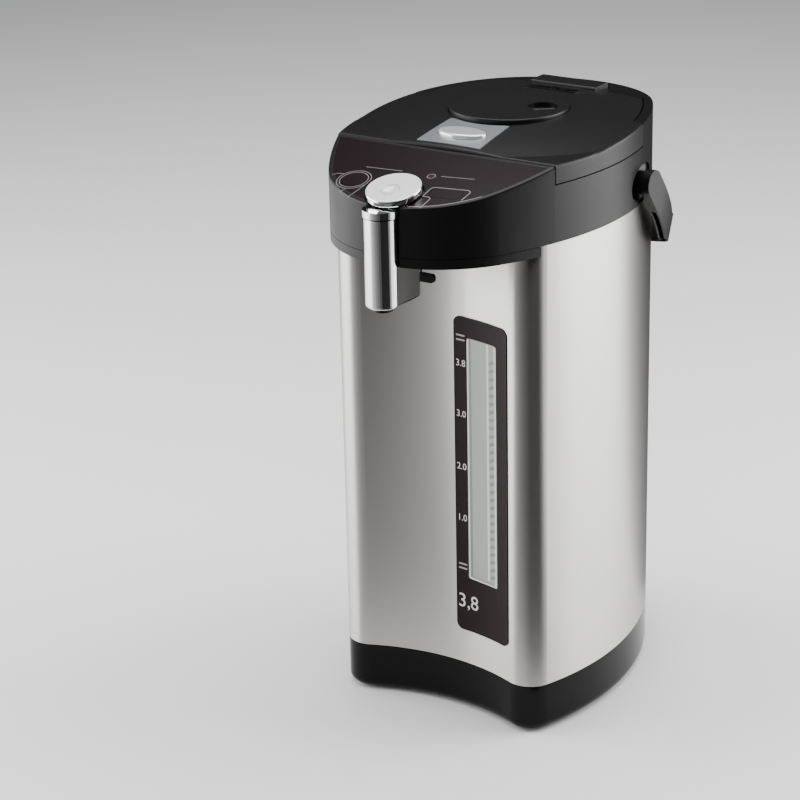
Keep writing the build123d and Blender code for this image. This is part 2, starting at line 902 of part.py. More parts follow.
def film_plan(inset=0.0):
    face = head_plan(film_inset + inset)
    keep = Pos(0, nose_back_y - film_margin - inset - far / 2) * Rectangle(far, far)
    return face & keep


def below_panel(drop):
    """Everything under the sloping panel, lowered square to it."""
    tool = Pos(0, 0, -far / 2 - drop) * Box(far * 2, far * 2, far)
    return panel_plane * tool


def head_shell():
    """The head's cover in front of the rear one: nose, shoulders and deck."""
    reach = -far
    outer = slab(head_plan(), steel_top, far) & side_profile([
        (reach, steel_top), (reach, panel_z(reach)), (nose_back_y, panel_z(nose_back_y)),
        (nose_back_y, deck_top), (split_y - seam / 2, deck_top), (split_y - seam / 2, steel_top)])
    top_rim = [e for e in outer.edges() if panel_rim(e)]
    outer = fillet(top_rim, nose_round)
    wall_y = nose_back_y - head_wall
    hollow = slab(head_plan(head_wall), 0, far) & side_profile([
        (reach, 0), (reach, panel_z(reach)), (wall_y, panel_z(wall_y)), (wall_y, deck_bottom),
        (0, deck_bottom), (0, 0)])
    hollow &= below_panel(head_wall) + block((-far, far), (wall_y, far), (0, deck_bottom))
    head = outer - hollow
    inset = steel_wall + lip_gap
    lip = body_ring(inset, inset + lip_wall, steel_top - lip_depth, steel_top + lip_overlap)
    head += lip & block((-far, far), (-far, split_y - seam / 2), (0, far))
    for x, y in post_offsets:
        post = Pos(x, y, -board_drop) * Cylinder(
            post_radius, board_drop, align=(Align.CENTER, Align.CENTER, Align.MIN))
        head += panel_plane * post & below_panel(film_thickness + fit_gap)
    head -= rod(well_radius_inner, pot_rim, far, (0, pot_y))
    head -= slab(spout_plan(spout_gap), 0, groove_level)
    head -= slab(spout_plan(collar_proud + fit_gap), groove_level, far)
    head -= button_pocket()
    head -= slab(film_plan(-fit_gap / 2), 0, far) - below_panel(film_thickness)
    head -= slab(left_key_face(key_gap) + right_key_face(key_gap), steel_top, far)
    head -= rod(lens_radius, steel_top, far, lens_place)
    return head - handle_recess()


def front_head():
    """The nose, as far as the lid's front edge."""
    return head_shell() & block((-far, far), (-far, nose_back_y), (0, far))


def shoulder_ring():
    """The shoulders beside the lid, with the deck round the vessel's mouth."""
    return head_shell() & block((-far, far), (nose_back_y, far), (0, far))


def panel_rim(edge):
    """True on the curved edge where the nose's side meets the panel."""
    middle = edge @ 0.5
    on_slope = abs(middle.Z - panel_z(middle.Y)) < 0.01
    return on_slope and middle.Y < nose_back_y - 1


def control_panel():
    film = slab(film_plan(), 0, far) & below_panel(0)
    film -= below_panel(film_thickness)
    film -= button_pocket(fit_gap)
    film -= slab(spout_plan(collar_proud + fit_gap), 0, far)
    film -= slab(left_key_face(key_gap) + right_key_face(key_gap), steel_top, far)
    return film - rod(lens_radius, steel_top, far, lens_place)


def key_cap(face, flange):
    """A panel key: a cap level with the film and a flange under the cover."""
    depth = head_wall + key_stop
    cap = (slab(face, steel_top, far) & below_panel(0)) - below_panel(depth)
    skirt = slab(flange, steel_top, far) & below_panel(depth)
    return cap + (skirt - below_panel(depth + key_flange_thickness))


def left_button():
    return key_cap(left_key_face(), left_key_face(key_flange))


def right_button():
    return key_cap(right_key_face(), right_key_face(key_flange))


def indicator_lens():
    return (rod(lens_radius, steel_top, far, lens_place) & below_panel(0)) - below_panel(lens_length)


def control_board():
    front = chord_y - board_front
    back = chord_y - board_back
    plan = Pos(0, (front + back) / 2) * Rectangle(2 * board_half_width, back - front)
    notch_depth = spout_back_y + board_notch - front
    notch = Pos(0, front) * Rectangle(2 * (spout_radius + board_notch), 2 * notch_depth)
    column = slab(plan - notch, 0, far)
    column &= slab(head_plan(head_wall + fit_gap), 0, far)
    return (column & below_panel(board_drop)) - below_panel(board_drop + board_thickness)


def tact_switches():
    drop = head_wall + key_stop + key_flange_thickness + key_travel + switch_gap
    switches = []
    for place in (left_key, right_key):
        column = slab(Pos(*place) * Rectangle(switch_size, switch_size), 0, far)
        switches.append((column & below_panel(drop)) - below_panel(board_drop))
    return Compound(switches)


def nose_cover():
    keep = block((-far, far), (-far, tray_edge_y), (0, far))
    outer = (slab(head_plan(), nose_bottom, tray_top) - slab(body_plan(-fit_gap), 0, far)) & keep
    inner_keep = block((-far, far), (-far, tray_edge_y - tray_floor), (0, far))
    inner = slab(head_plan(head_wall), nose_bottom + tray_floor, far) & inner_keep
    tray = outer - (inner - slab(body_plan(-fit_gap - lip_wall), 0, far))
    tray -= slab(spout_plan(spout_gap), 0, far)
    half = lever_width / 2 + lever_gap
    slot = (paddle_y - slot_margin[0], lever_y + lever_hub + slot_margin[1])
    tray -= block((-half, half), slot, (0, far))
    for ear in ((-ear_reach, -half), (half, ear_reach)):
        tray += block(ear, (lever_y - lever_hub, lever_y + lever_hub), (nose_bottom, lever_z + lever_hub))
    return tray - cross_rod(lever_pin_radius, -ear_reach, ear_reach, lever_y, lever_z)


def rear_head():
    column = slab(head_plan(), steel_top, far) & block((-far, far), (split_y + seam / 2, far), (0, far))
    outer = column & under_top()
    hollow = slab(head_plan(head_wall), 0, deck_bottom)
    head = outer - hollow
    pocket = slab(head_plan(rim_band), deck_top, far)
    pocket &= block((-far, far), (-far, rear_edge_y + lid_gap), (0, far))
    attic = (slab(head_plan(head_wall), deck_top, far) & under_top(head_wall)) & block(
        (-far, far), (rear_edge_y + lid_gap + head_wall, far), (0, far))
    ears = block((-tab_half_width - ear_width, tab_half_width + ear_width),
                 (rear_edge_y + lid_gap, tab_back_y + ear_margin), (deck_top, far))
    head = head - pocket - (attic - ears)
    inset = steel_wall + lip_gap
    lip = body_ring(inset, inset + lip_wall, steel_top - lip_depth, steel_top + lip_overlap)
    head += lip & block((-far, far), (split_y + seam / 2, far), (0, far))
    head -= rod(well_radius_inner, pot_rim, skirt_level, (0, pot_y))
    half = tab_half_width + swing_clearance
    swing = hypot(tab_back, max(tab_rise, tab_sink)) + swing_clearance
    head -= cross_rod(swing, -half, half, hinge_y, hinge_z)
    head -= block((-half, half), (-far, hinge_y + swing), (hinge_z, far))
    reach = half + ear_width - pin_margin
    head -= cross_rod(hinge_pin_radius, -reach, reach, hinge_y, hinge_z)
    return head - handle_recess()


def hinge_pin():
    reach = tab_half_width + swing_clearance + ear_width - pin_margin
    return cross_rod(hinge_pin_radius, -reach, reach, hinge_y, hinge_z)


# ------------------------------------------------------------------ spout
def spout_cover():
    outer = slab(spout_plan(), spout_bottom, groove_level)
    outer = fillet(outer.edges().group_by(Axis.Z)[0], spout_round)
    return outer - slab(spout_plan(-spout_wall), 0, far) - feed_hole(neck_radius + fit_gap)


def feed_hole(radius):
    """Hole for the water, from the spout's axis to its back."""
    along = Pos(0, spout_y, hose_level) * Rot(-90, 0, 0)
    return along * Cylinder(radius, far / 4, align=(Align.CENTER, Align.CENTER, Align.MIN))


def spout_core():
    body = slab(spout_plan(-spout_wall - core_gap), spout_bottom - core_gap, groove_level)
    body += slab(spout_plan(-groove_depth), groove_level, groove_level + groove_height)
    body -= rod(nozzle_bore, 0, hose_level + nozzle_bore, (0, spout_y))
    body -= rod(nozzle_radius, 0, spout_bottom + nozzle_seat, (0, spout_y))
    body -= feed_hole(neck_radius - neck_wall)
    body -= stem_tool(button_spring_radius + fit_gap, button_spring_length)
    return body - stem_tool(stem_radius + running_gap, stem_length + button_travel + button_stop)


def stem_tool(radius, length):
    return button_plane * Pos(0, 0, -button_thickness - length) * Cylinder(
        radius, length, align=(Align.CENTER, Align.CENTER, Align.MIN))


def spout_nozzle():
    low = spout_bottom - nozzle_drop
    return pipe(nozzle_radius, nozzle_bore, low, spout_bottom + nozzle_seat, (0, spout_y))


def spout_collar():
    low = groove_level + groove_height
    column = slab(spout_plan(collar_proud), low, far)
    front = column & slab(Rectangle(far, 2 * far), low, collar_top)
    seat = button_plane * Pos(0, 0, -far / 2 - seat_depth) * Box(far, far, far)
    rear = column & seat & block((-far, far), (spout_y, far), (0, far))
    collar = front + rear
    room = button_plane.offset(-seat_depth) * Circle(button_radius + pan_gap / 2)
    collar -= extrude(room, amount=far / 4)
    collar -= stem_tool(button_spring_radius + fit_gap, button_spring_length)
    return collar - stem_tool(stem_radius + fit_gap, stem_length)


def button_pan():
    """Black dish under the dispense button, let into the nose."""
    disc = extrude(button_plane.offset(-seat_depth - pan_thickness) * Circle(
        button_radius + pan_gap - lip_gap), amount=pan_thickness)
    disc &= slab(head_plan(head_wall), 0, far)
    return disc - slab(spout_plan(collar_proud + lip_gap), 0, far)


def dispense_button():
    disc = extrude(button_plane.offset(-button_thickness) * Circle(button_radius), amount=button_thickness)
    disc = fillet(disc.edges(), button_round)
    dish = button_plane * Pos(0, dent_offset, dent_radius - dent_depth) * Sphere(dent_radius)
    return disc - dish + stem_tool(stem_radius, stem_length)


def dispense_spring():
    foot = button_plane * Pos(0, 0, -button_thickness - button_spring_length)
    return foot * coil(button_spring_radius, button_spring_wire, button_spring_length, button_spring_turns)


# ------------------------------------------------------------------ cup lever
def cup_lever():
    half = lever_width / 2
    hub = cross_rod(lever_hub, -half, half, lever_y, lever_z)
    stem = side_profile([
        (lever_y - lever_hub, lever_z), (lever_y, lever_z - lever_hub), (paddle_y + lever_wall, paddle_bottom),
        (paddle_y, paddle_bottom)], half)
    wing = block((-paddle_half_width, paddle_half_width), (paddle_y, paddle_y + lever_wall),
                 (paddle_bottom, paddle_bottom + paddle_height))
    wing = fillet(wing.edges().filter_by(Axis.Y), paddle_round)
    tail = block((-half, half), (lever_y, lever_y + lever_tail),
                 (lever_z - lever_wall / 2, lever_z + lever_wall / 2))
    lever = hub + stem + wing + tail
    return lever - cross_rod(lever_pin_radius + running_gap, -far, far, lever_y, lever_z)


def lever_pin():
    return cross_rod(lever_pin_radius, -ear_reach, ear_reach, lever_y, lever_z)


# ------------------------------------------------------------------ lid
def lid_plan(inset=0.0):
    """The lid's outline: level with the head in front, inside its rim behind."""
    front = head_plan(inset) & band_plan(chord_y + inset, split_y)
    return front + (head_plan(rim_band + lid_gap + inset) & band_plan(split_y - 1, rear_edge_y - inset))


def band_plan(front, back):
    return Pos(0, (front + back) / 2) * Rectangle(far, back - front)


def lid_outer():
    shell = slab(lid_plan(), skirt_level, far) & under_top()
    rim = [e for e in shell.edges() if lid_edge(e)]
    shell = fillet(rim, lid_round)
    shell -= slab(lid_plan(lid_wall), 0, far) & under_top(lid_wall)
    barrel = block((-tab_half_width, tab_half_width), (hinge_y - tab_front, tab_back_y),
                   (tab_bottom, tab_top))
    barrel = fillet(barrel.edges().filter_by(Axis.X).group_by(Axis.Z)[-1], lid_round)
    shell += barrel
    for place in lid_screw_places():
        shell += rod(boss_radius, skirt_level + flange_thickness, far, place) & under_top(lid_wall / 2)
        shell -= rod(screw_radius, skirt_level, skirt_level + lid_screw_length + fit_gap, place)
    shell -= rod(disc_radius + disc_gap, 0, far, (0, disc_y))
    shell -= slab(latch_face(lip_gap), 0, far) - under_top(latch_sink)
    shell -= slab(latch_key_face(latch_key_gap), 0, far)
    shell -= slab(vent_face(lip_gap), 0, far) - under_top(latch_sink)
    shell -= slab(vent_face(-vent_rim), 0, far)
    half = bolt_half_width + bolt_gap
    shell -= block((-half, half), (-far, bolt_back_y),
                   (bolt_bottom - bolt_gap, bolt_bottom + bolt_thickness + bolt_gap))
    return shell - cross_rod(hinge_pin_radius + running_gap, -far, far, hinge_y, hinge_z)


def disc_guide():
    """Ring round the pump disc, from the inner lid up to the dome."""
    inner = disc_radius + disc_gap
    outer = inner + guide_wall
    top = dome_z(disc_y - outer) - lid_wall - fit_gap
    return pipe(outer, inner, skirt_level + flange_thickness, top, (0, disc_y))


def lid_edge(edge):
    """True on the front and side edges of the lid's top."""
    middle = edge @ 0.5
    return middle.Z > rim_level - lid_gap and middle.Y < split_y - lid_gap


def lid_screw_places():
    right = [
        (half_width - front_screw_inset[0], chord_y + front_screw_inset[1]),
        (half_width - rear_screw_inset[0], rear_edge_y - rear_screw_inset[1]),
    ]
    return right + [(-x, y) for x, y in right]


def lid_inner():
    top = skirt_level + flange_thickness
    flange = slab(lid_plan(lid_wall + lip_gap), skirt_level, top)
    height = skirt_level - plug_bottom
    taper = align_low(Cone(plug_bottom_radius, plug_top_radius, height))
    cup = Pos(0, pot_y, plug_bottom) * taper
    hollow = Pos(0, pot_y, plug_bottom + plug_wall) * align_low(
        Cone(plug_bottom_radius - plug_wall, plug_top_radius - plug_wall, height))
    inner = flange + cup - hollow - rod(plug_top_radius - plug_wall, skirt_level, far, (0, pot_y))
    for place in lid_screw_places():
        inner -= rod(screw_radius, 0, far, place)
        inner -= rod(screw_head_radius, 0, skirt_level + lid_screw_sink, place)
    return inner


def align_low(cone):
    return Pos(0, 0, -cone.bounding_box().min.Z) * cone


def lid_screws():
    screws = []
    for place in lid_screw_places():
        head = rod(screw_head_radius, skirt_level, skirt_level + lid_screw_sink, place)
        slot = Pos(place[0], place[1], skirt_level) * Box(*screw_slot)
        screws.append(head + rod(screw_radius, skirt_level, skirt_level + lid_screw_length, place) - slot)
    return Compound(screws)


def lid_gasket():
    outer = plug_bottom_radius - lip_gap
    ring = pipe(outer, outer - gasket_width, pot_rim + gasket_gap, plug_bottom, (0, pot_y))
    return fillet(ring.edges().group_by(Axis.Z)[0], gasket_round)


def latch_face(grow=0.0):
    front = latch_front_width / 2 + grow
    back = latch_back_width / 2 + grow
    plate = make_face(Polyline((-front, latch_front_y - grow), (front, latch_front_y - grow),
                               (back, latch_back_y + grow), (-back, latch_back_y + grow), close=True))
    return plate - Pos(0, disc_y) * Circle(disc_radius + disc_gap + disc_margin - grow)


def latch_key_face(grow=0.0):
    return Pos(0, latch_key_y) * Ellipse(latch_key_size[0] + grow, latch_key_size[1] + grow)


def latch_plate():
    return top_sheet(latch_face(), latch_proud, latch_sink) - slab(latch_key_face(latch_key_gap), 0, far)


def latch_button():
    key = slab(latch_key_face(), latch_key_bottom, dome_z(latch_key_y) + latch_key_proud)
    return fillet(key.edges().group_by(Axis.Z)[-1], latch_key_round)


def latch_springs():
    foot = skirt_level + flange_thickness
    spring = coil(latch_spring_radius, latch_spring_wire, latch_key_bottom - foot, latch_spring_turns)
    return mirrored(Pos(latch_spring_x, latch_key_y, foot) * spring)


def latch_bolt():
    front = chord_y - bolt_reach
    bar = block((-bolt_half_width, bolt_half_width), (front, bolt_back_y),
                (bolt_bottom, bolt_bottom + bolt_thickness))
    return chamfer(bar.edges().filter_by(Axis.X).group_by(Axis.Y)[0], bolt_bevel)


def vent_face(grow=0.0):
    middle = (vent_front_y + vent_back_y) / 2
    return Pos(0, middle) * RectangleRounded(
        2 * (vent_half_width + grow), vent_back_y - vent_front_y + 2 * grow, vent_corner + grow)


def steam_vent():
    plate = top_sheet(vent_face(), latch_proud, latch_sink)
    pitch = 2 * vent_half_width / (vent_slots + 1)
    middle = (vent_front_y + vent_back_y) / 2
    for i in range(vent_slots):
        x = -vent_half_width + pitch * (i + 1)
        slot = Pos(x, middle) * Rot(0, 0, vent_slot_turn) * SlotOverall(*vent_slot_size)
        plate -= slab(slot, 0, far)
    return plate


def pump_disc():
    underside = disc_top - disc_thickness
    disc = rod(disc_radius, underside, disc_top, (0, disc_y))
    disc = fillet(disc.edges().group_by(Axis.Z)[-1], disc_round)
    disc += pipe(disc_radius, disc_radius - disc_wall, underside - disc_skirt, underside, (0, disc_y))
    disc += rod(presser_radius, bellows_top + gasket_gap, underside, (0, disc_y))
    inner = knob_radius + fit_gap
    floor = knob_floor_level()
    disc += rod(inner + knob_well_wall, floor - knob_floor, underside, knob_place)
    disc -= rod(inner, floor, far, knob_place)
    return disc - rod(knob_stem + running_gap, 0, far, knob_place)


def knob_floor_level():
    return disc_top - knob_drop - knob_height - fit_gap


def lock_knob():
    low = knob_floor_level() + fit_gap
    knob = rod(knob_radius, low, low + knob_height, knob_place)
    knob = fillet(knob.edges().group_by(Axis.Z)[-1], knob_round)
    grip = Pos(*knob_place, low + knob_height + knob_grip_height / 2) * Rot(0, 0, knob_grip_turn) * Box(
        2 * (knob_radius - knob_well_wall), knob_grip, knob_grip_height)
    grip = fillet(grip.edges().group_by(Axis.Z)[-1], knob_round)
    bottom = knob_floor_level() - knob_floor - fit_gap
    stem = rod(knob_stem, bottom, low, knob_place)
    clip = rod(knob_stem + knob_clip[0], bottom - knob_clip[1], bottom, knob_place)
    return knob + grip + stem + clip


def bellows():
    low = plug_bottom + plug_wall
    pitch = (bellows_top - low - 2 * bellows_wall) / bellows_folds
    outer = [(0, low), (bellows_neck, low)]
    for i in range(bellows_folds):
        start = low + bellows_wall + i * pitch
        outer += [(bellows_neck, start), (bellows_radius, start + pitch / 2)]
    outer += [(bellows_neck, bellows_top - bellows_wall), (bellows_neck, bellows_top), (0, bellows_top)]
    solid = revolve(Plane.XZ * make_face(Polyline(*outer, close=True)), Axis.Z)
    cavity = [(0, low + bellows_wall)]
    for i in range(bellows_folds):
        start = low + bellows_wall + i * pitch
        cavity += [(bellows_neck - bellows_wall, start), (bellows_radius - bellows_wall, start + pitch / 2)]
    cavity += [(bellows_neck - bellows_wall, bellows_top - bellows_wall), (0, bellows_top - bellows_wall)]
    solid -= revolve(Plane.XZ * make_face(Polyline(*cavity, close=True)), Axis.Z)
    return Pos(0, disc_y, 0) * solid


# ------------------------------------------------------------------ carrying handle
def bow(inset):
    """Outline of the bow in the plane of its grip, inset from its outside."""
    half = handle_inner + handle_wall
    right = [
        (half, -handle_width),
        (half, arm_reach),
        (half - elbow_taper, elbow_reach),
        (half - shoulder_inset, handle_reach - shoulder_setback),
        (half - crown_inset, handle_reach),
    ]
    left = [(-x, y) for x, y in reversed(right)]
    face = make_face(Polyline(*right, *left, close=True))
    for level, radius in ((4, crown_round), (3, shoulder_round), (2, elbow_round), (1, arm_round)):
        face = fillet(face.vertices().group_by(Axis.Y)[level], radius)
    return offset(face, amount=-inset) if inset else face


def carry_handle():
    strap = extrude(bow(0) - bow(handle_wall), amount=far / 4, both=True)
    strap &= extrude(Plane.YZ * strap_side(), amount=far, both=True)
    strap -= channel()
    pins = cross_rod(hub_radius, recess_floor + fit_gap, handle_inner + 1, 0, 0)
    pins += cross_rod(trunnion_radius, recess_floor - socket_thickness + fit_gap, handle_inner, 0, 0)
    strap += pins + mirror(pins, Plane.YZ)
    return handle_plane * strap


def strap_side():
    """The handle seen from the side: round ends at the pivots, steep arms and a level grip."""
    half = handle_width / 2
    arm = Rot(0, 0, -handle_bend) * Pos(arm_length / 2, 0) * Rectangle(arm_length, handle_width)
    knee = Pos(knee_reach, -knee_fall) * Circle(half)
    grip = Pos(knee_reach + far / 2, -knee_fall) * Rectangle(far, handle_width)
    return Circle(half) + arm + knee + grip


def channel():
    """The hollow underside of the bow with its cross ribs."""
    hollow = bow(channel_wall) - bow(handle_wall - channel_wall)
    hollow &= Pos(0, channel_start + far / 2) * Rectangle(far, far)
    for angle in rib_angles:
        rib = Pos(far / 4, 0) * Rectangle(far / 2, rib_thickness)
        hollow -= Rot(0, 0, angle) * rib
    side = Pos(0, -channel_roof) * strap_side()
    return extrude(hollow, amount=far / 4, both=True) & extrude(Plane.YZ * side, amount=far, both=True)


def pivot_sockets():
    """Cups in the head's sides that carry the handle's trunnions."""
    outer = Ellipse(recess_half_width - fit_gap, recess_half_height - fit_gap)
    inner = Ellipse(recess_half_width - fit_gap - socket_wall, recess_half_height - fit_gap - socket_wall)
    place = Plane.YZ * Pos(handle_y, handle_z)
    floor = extrude(Pos(recess_floor - socket_thickness, 0, 0) * (place * outer), amount=socket_thickness)
    wall = extrude(Pos(recess_floor, 0, 0) * (place * (outer - inner)), amount=far / 8)
    cup = (floor + wall) & slab(head_plan(socket_edge), 0, far)
    cup -= cross_rod(trunnion_radius + running_gap, 0, far, handle_y, handle_z)
    return mirrored(cup)


# ------------------------------------------------------------------ assembly
PARTS = {
    "base_shell": base_shell,
    "base_plate": base_plate,
    "rubber_feet": rubber_feet,
    "base_screws": base_screws,
    "power_inlet": power_inlet,
    "inlet_pins": inlet_pins,
    "power_board": power_board,
    "outer_body": outer_body,
    "gauge_plate": gauge_plate,
    "gauge_window": gauge_window,
    "gauge_tube": gauge_tube,
    "inner_pot": inner_pot,
    "insulation_sleeve": insulation_sleeve,
    "heater_plate": heater_plate,
    "thermostats": thermostats,
    "pot_collar": pot_collar,
    "pump_motor": pump_motor,
    "motor_rotor": motor_rotor,
    "pump_housing": pump_housing,
    "pump_impeller": pump_impeller,
    "drain_hose": drain_hose,
    "pump_hose": pump_hose,
    "outlet_hose": outlet_hose,
    "front_head": front_head,
    "shoulder_ring": shoulder_ring,
    "control_panel": control_panel,
    "left_button": left_button,
    "right_button": right_button,
    "indicator_lens": indicator_lens,
    "control_board": control_board,
    "tact_switches": tact_switches,
    "nose_cover": nose_cover,
    "rear_head": rear_head,
    "hinge_pin": hinge_pin,
    "spout_cover": spout_cover,
    "spout_core": spout_core,
    "spout_nozzle": spout_nozzle,
    "spout_collar": spout_collar,
    "button_pan": button_pan,
    "dispense_button": dispense_button,
    "dispense_spring": dispense_spring,
    "cup_lever": cup_lever,
    "lever_pin": lever_pin,
    "lid_outer": lid_outer,
    "disc_guide": disc_guide,
    "lid_inner": lid_inner,
    "lid_screws": lid_screws,
    "lid_gasket": lid_gasket,
    "latch_plate": latch_plate,
    "latch_button": latch_button,
    "latch_springs": latch_springs,
    "latch_bolt": latch_bolt,
    "steam_vent": steam_vent,
    "pump_disc": pump_disc,
    "lock_knob": lock_knob,
    "bellows": bellows,
    "carry_handle": carry_handle,
    "pivot_sockets": pivot_sockets,
}

front_reach = spout_y - spout_radius - collar_proud
back_reach = handle_y + handle_reach * cos(radians(handle_drop)) \
    + (handle_width / 2 - knee_fall) * sin(radians(handle_drop))
origin_y = (front_reach + back_reach) / 2

os.makedirs("parts", exist_ok=True)
for name, make in PARTS.items():
    export_step(Pos(0, -origin_y, 0) * make(), f"parts/{name}.step")
print("origin_y", origin_y)
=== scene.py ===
import json
from math import cos, radians, sin, sqrt, tan

import bpy
from mathutils import Matrix, Vector


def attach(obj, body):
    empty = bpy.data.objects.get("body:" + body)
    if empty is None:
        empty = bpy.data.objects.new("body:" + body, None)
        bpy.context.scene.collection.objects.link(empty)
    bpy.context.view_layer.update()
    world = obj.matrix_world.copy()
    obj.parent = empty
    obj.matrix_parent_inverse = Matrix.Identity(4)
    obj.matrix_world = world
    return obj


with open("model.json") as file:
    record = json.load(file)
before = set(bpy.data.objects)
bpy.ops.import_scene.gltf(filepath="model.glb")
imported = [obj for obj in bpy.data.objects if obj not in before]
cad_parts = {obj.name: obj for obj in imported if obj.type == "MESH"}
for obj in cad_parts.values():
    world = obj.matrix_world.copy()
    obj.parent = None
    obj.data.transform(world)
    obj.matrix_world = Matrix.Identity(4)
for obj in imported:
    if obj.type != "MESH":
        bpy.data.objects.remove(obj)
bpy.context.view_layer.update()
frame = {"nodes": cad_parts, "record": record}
nodes = frame["nodes"]

# ------------------------------------------------------------------ places on the pot
# Places on the pot are in mm, from the centre of its round back, and place() turns them to the row frame.
MM = 0.001
ORIGIN_Y = -58.7071  # middle of the outline
CHORD_Y = -120.33  # straight front edge of the lid, with the centre of the nose on it
NOSE_RADIUS = 71.0
PANEL_TOP = 375.8  # height of the control panel at the lid's edge
PANEL_SLOPE = radians(13.5)
FRONT_RADIUS = 138.7  # hollow front of the body
FRONT_CENTRE_Y = -263.93
PLATE_PROUD = 0.6  # how far the gauge's plate stands off the body
BUTTON_Y = -178.033  # middle of the face of the slanting disc
BUTTON_Z = 367.047
BUTTON_TILT = radians(15)
INK = 0.06  # a print stands this far off its ground


def place(x, y, z):
    """A point given about the centre of the round back, in mm, in the row frame."""
    return Vector((x * MM, (y - ORIGIN_Y) * MM, z * MM))


def on_panel(x, y, lift=INK):
    """A place on the sloping control panel."""
    z = PANEL_TOP + (y - CHORD_Y) * tan(PANEL_SLOPE)
    return place(x, y - lift * sin(PANEL_SLOPE), z + lift * cos(PANEL_SLOPE))


def on_gauge(x, z, lift=INK):
    """A place on the gauge's plate, which follows the hollow front."""
    y = FRONT_CENTRE_Y + sqrt((FRONT_RADIUS - PLATE_PROUD - lift) ** 2 - x ** 2)
    return place(x, y, z)


def on_window(x, z, lift=INK):
    """A place on the gauge's window, a little behind the face of the plate."""
    return on_gauge(x, z, lift - PLATE_PROUD / 2)


def on_button(x, y, lift=INK):
    """A place on the face of the slanting disc, from its middle."""
    z = BUTTON_Z + y * sin(BUTTON_TILT) + lift * cos(BUTTON_TILT)
    return place(x, BUTTON_Y + y * cos(BUTTON_TILT) - lift * sin(BUTTON_TILT), z)


# ------------------------------------------------------------------ camera
# The viewpoint, solved from the outlines of the pot, with lengths in mm and the focal length in pixels.
AZIMUTH = radians(33.05)  # from the front toward +X
ELEVATION = radians(21.08)
ROLL = radians(-1.22)
DISTANCE = 1754.62
SIDE_STEP = -95.87
LOOK_HEIGHT = 174.01
FOCAL_PX = 2604.42
FRAME_PX = 800
SENSOR = 36.0  # a full frame, in real mm
CLIP_END = 20  # in metres


def make_camera():
    back = Vector((sin(AZIMUTH) * cos(ELEVATION), -cos(AZIMUTH) * cos(ELEVATION), sin(ELEVATION)))
    right = Vector((cos(AZIMUTH), sin(AZIMUTH), 0))
    up = back.cross(right)
    tilted_right = right * cos(ROLL) + up * sin(ROLL)
    tilted_up = up * cos(ROLL) - right * sin(ROLL)
    eye = place(0, 0, LOOK_HEIGHT) + (right * SIDE_STEP + back * DISTANCE) * MM
    camera = bpy.data.objects.new("camera", bpy.data.cameras.new("camera"))
    camera.matrix_world = Matrix.Translation(eye) @ Matrix((
        (tilted_right.x, tilted_up.x, back.x),
        (tilted_right.y, tilted_up.y, back.y),
        (tilted_right.z, tilted_up.z, back.z))).to_4x4()
    camera.data.sensor_width = SENSOR
    camera.data.lens = FOCAL_PX / FRAME_PX * SENSOR
    camera.data.clip_end = CLIP_END
    bpy.context.scene.collection.objects.link(camera)
    bpy.context.scene.camera = camera


make_camera()


# ------------------------------------------------------------------ materials
BRUSHED_GRAIN = (3000, 3000, 25)  # drawn out along the height
FINE_GRAIN = (1800, 1800, 1800)
COARSE_GRAIN = (1500, 1500, 1500)
NOISE_DETAIL = 4.0
EDGE_FACING = 0.5  # how far a normal agrees with the disc's axis, at its edge and on its face
FACE_FACING = 0.9

finishes = {}


def material(name, color, rough, metal=0.0, coat=0.0, spec=0.5):
    """An even finish, kept under its name, which is the record's slot for a CAD node."""
    mat = bpy.data.materials.new(name)
    mat.use_nodes = True
    shader = mat.node_tree.nodes["Principled BSDF"]
    shader.inputs["Base Color"].default_value = (*color, 1)
    shader.inputs["Roughness"].default_value = rough
    shader.inputs["Metallic"].default_value = metal
    shader.inputs["Coat Weight"].default_value = coat
    shader.inputs["Specular IOR Level"].default_value = spec
    finishes[name] = mat
    return mat


def grain(mat, scale, strength, distance=0.0002):
    """Adds fine relief."""
    tree = mat.node_tree
    shader = tree.nodes["Principled BSDF"]
    coords = tree.nodes.new("ShaderNodeTexCoord")
    mapping = tree.nodes.new("ShaderNodeMapping")
    mapping.inputs["Scale"].default_value = scale
    noise = tree.nodes.new("ShaderNodeTexNoise")
    noise.inputs["Scale"].default_value = 1.0
    noise.inputs["Detail"].default_value = NOISE_DETAIL
    bump = tree.nodes.new("ShaderNodeBump")
    bump.inputs["Strength"].default_value = strength
    bump.inputs["Distance"].default_value = distance
    tree.links.new(coords.outputs["Object"], mapping.inputs["Vector"])
    tree.links.new(mapping.outputs["Vector"], noise.inputs["Vector"])
    tree.links.new(noise.outputs["Fac"], bump.inputs["Height"])
    tree.links.new(bump.outputs["Normal"], shader.inputs["Normal"])
    return mat


def brushed(mat, amount, turn):
    """Stretches the highlights of a brushed metal, the turn counted from the level direction."""
    tree = mat.node_tree
    shader = tree.nodes["Principled BSDF"]
    tangent = tree.nodes.new("ShaderNodeTangent")
    tangent.direction_type = "RADIAL"
    tangent.axis = "Z"
    tree.links.new(tangent.outputs["Tangent"], shader.inputs["Tangent"])
    shader.inputs["Anisotropic"].default_value = amount
    shader.inputs["Anisotropic Rotation"].default_value = turn
    return mat


